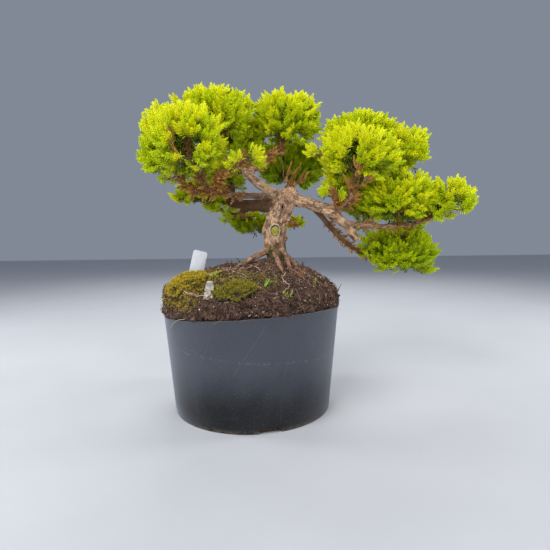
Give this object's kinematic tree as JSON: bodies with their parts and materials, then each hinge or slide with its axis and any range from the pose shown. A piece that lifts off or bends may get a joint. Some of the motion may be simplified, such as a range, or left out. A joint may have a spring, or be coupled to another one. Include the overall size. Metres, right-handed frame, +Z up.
{
  "type": "potted bonsai conifer",
  "caption": "Small conifer trained as a miniature tree, with a leaning trunk, surface roots, long boughs and cloud-like foliage masses, in a cut-down round nursery pot.",
  "frame": {"origin": "centre of the pot's flat underside", "axes": "+Z up, -Y towards the front of the tree, from which its trunk and both its side boughs are seen, +X to the viewer's right, the side of the longer, lower bough"},
  "size_m": [0.3344, 0.2058, 0.3279],
  "materials": {
    "pot": "satin black, scuffed, with a pale dirt line and dirt at the foot",
    "soil": "matt, fibrous brown compost with fine roots",
    "moss": "matt, short olive moss",
    "bark": "matt, flaking grey-brown bark, redder on the roots",
    "foliage": "short needles, bright yellow-green at the tips and dark beneath",
    "label": "smooth white plastic"
  },
  "bodies": {
    "root": {"pot": "pot", "soil": "soil", "label": "label", "moss_left": "moss", "moss_front": "moss", "trunk": "bark", "bough_back": "bark", "bough_back_left": "bark", "bough_back_low": "bark", "bough_back_sprig": "bark", "bough_centre": "bark", "bough_front_spray": "bark", "bough_left_inner": "bark", "bough_left_lower": "bark", "bough_left_outer": "bark", "bough_left_top": "bark", "bough_left_upper": "bark", "bough_right": "bark", "bough_right_back": "bark", "bough_right_far": "bark", "bough_right_inner": "bark", "bough_right_low": "bark", "bough_right_mid": "bark", "bough_right_shoulder": "bark", "bough_right_sprig": "bark", "bough_right_upper": "bark", "foliage_back_low": "foliage", "foliage_back_sprig": "foliage", "foliage_centre_back": "foliage", "foliage_centre_top": "foliage", "foliage_front_spray": "foliage", "foliage_left_front": "foliage", "foliage_left_inner": "foliage", "foliage_left_low": "foliage", "foliage_left_outer": "foliage", "foliage_left_top": "foliage", "foliage_right_back": "foliage", "foliage_right_far": "foliage", "foliage_right_front": "foliage", "foliage_right_low": "foliage", "foliage_right_mid": "foliage", "foliage_right_shoulder": "foliage", "foliage_right_sprig": "foliage", "foliage_right_top": "foliage", "stub_right": "bark"}
  },
  "joints": []
}
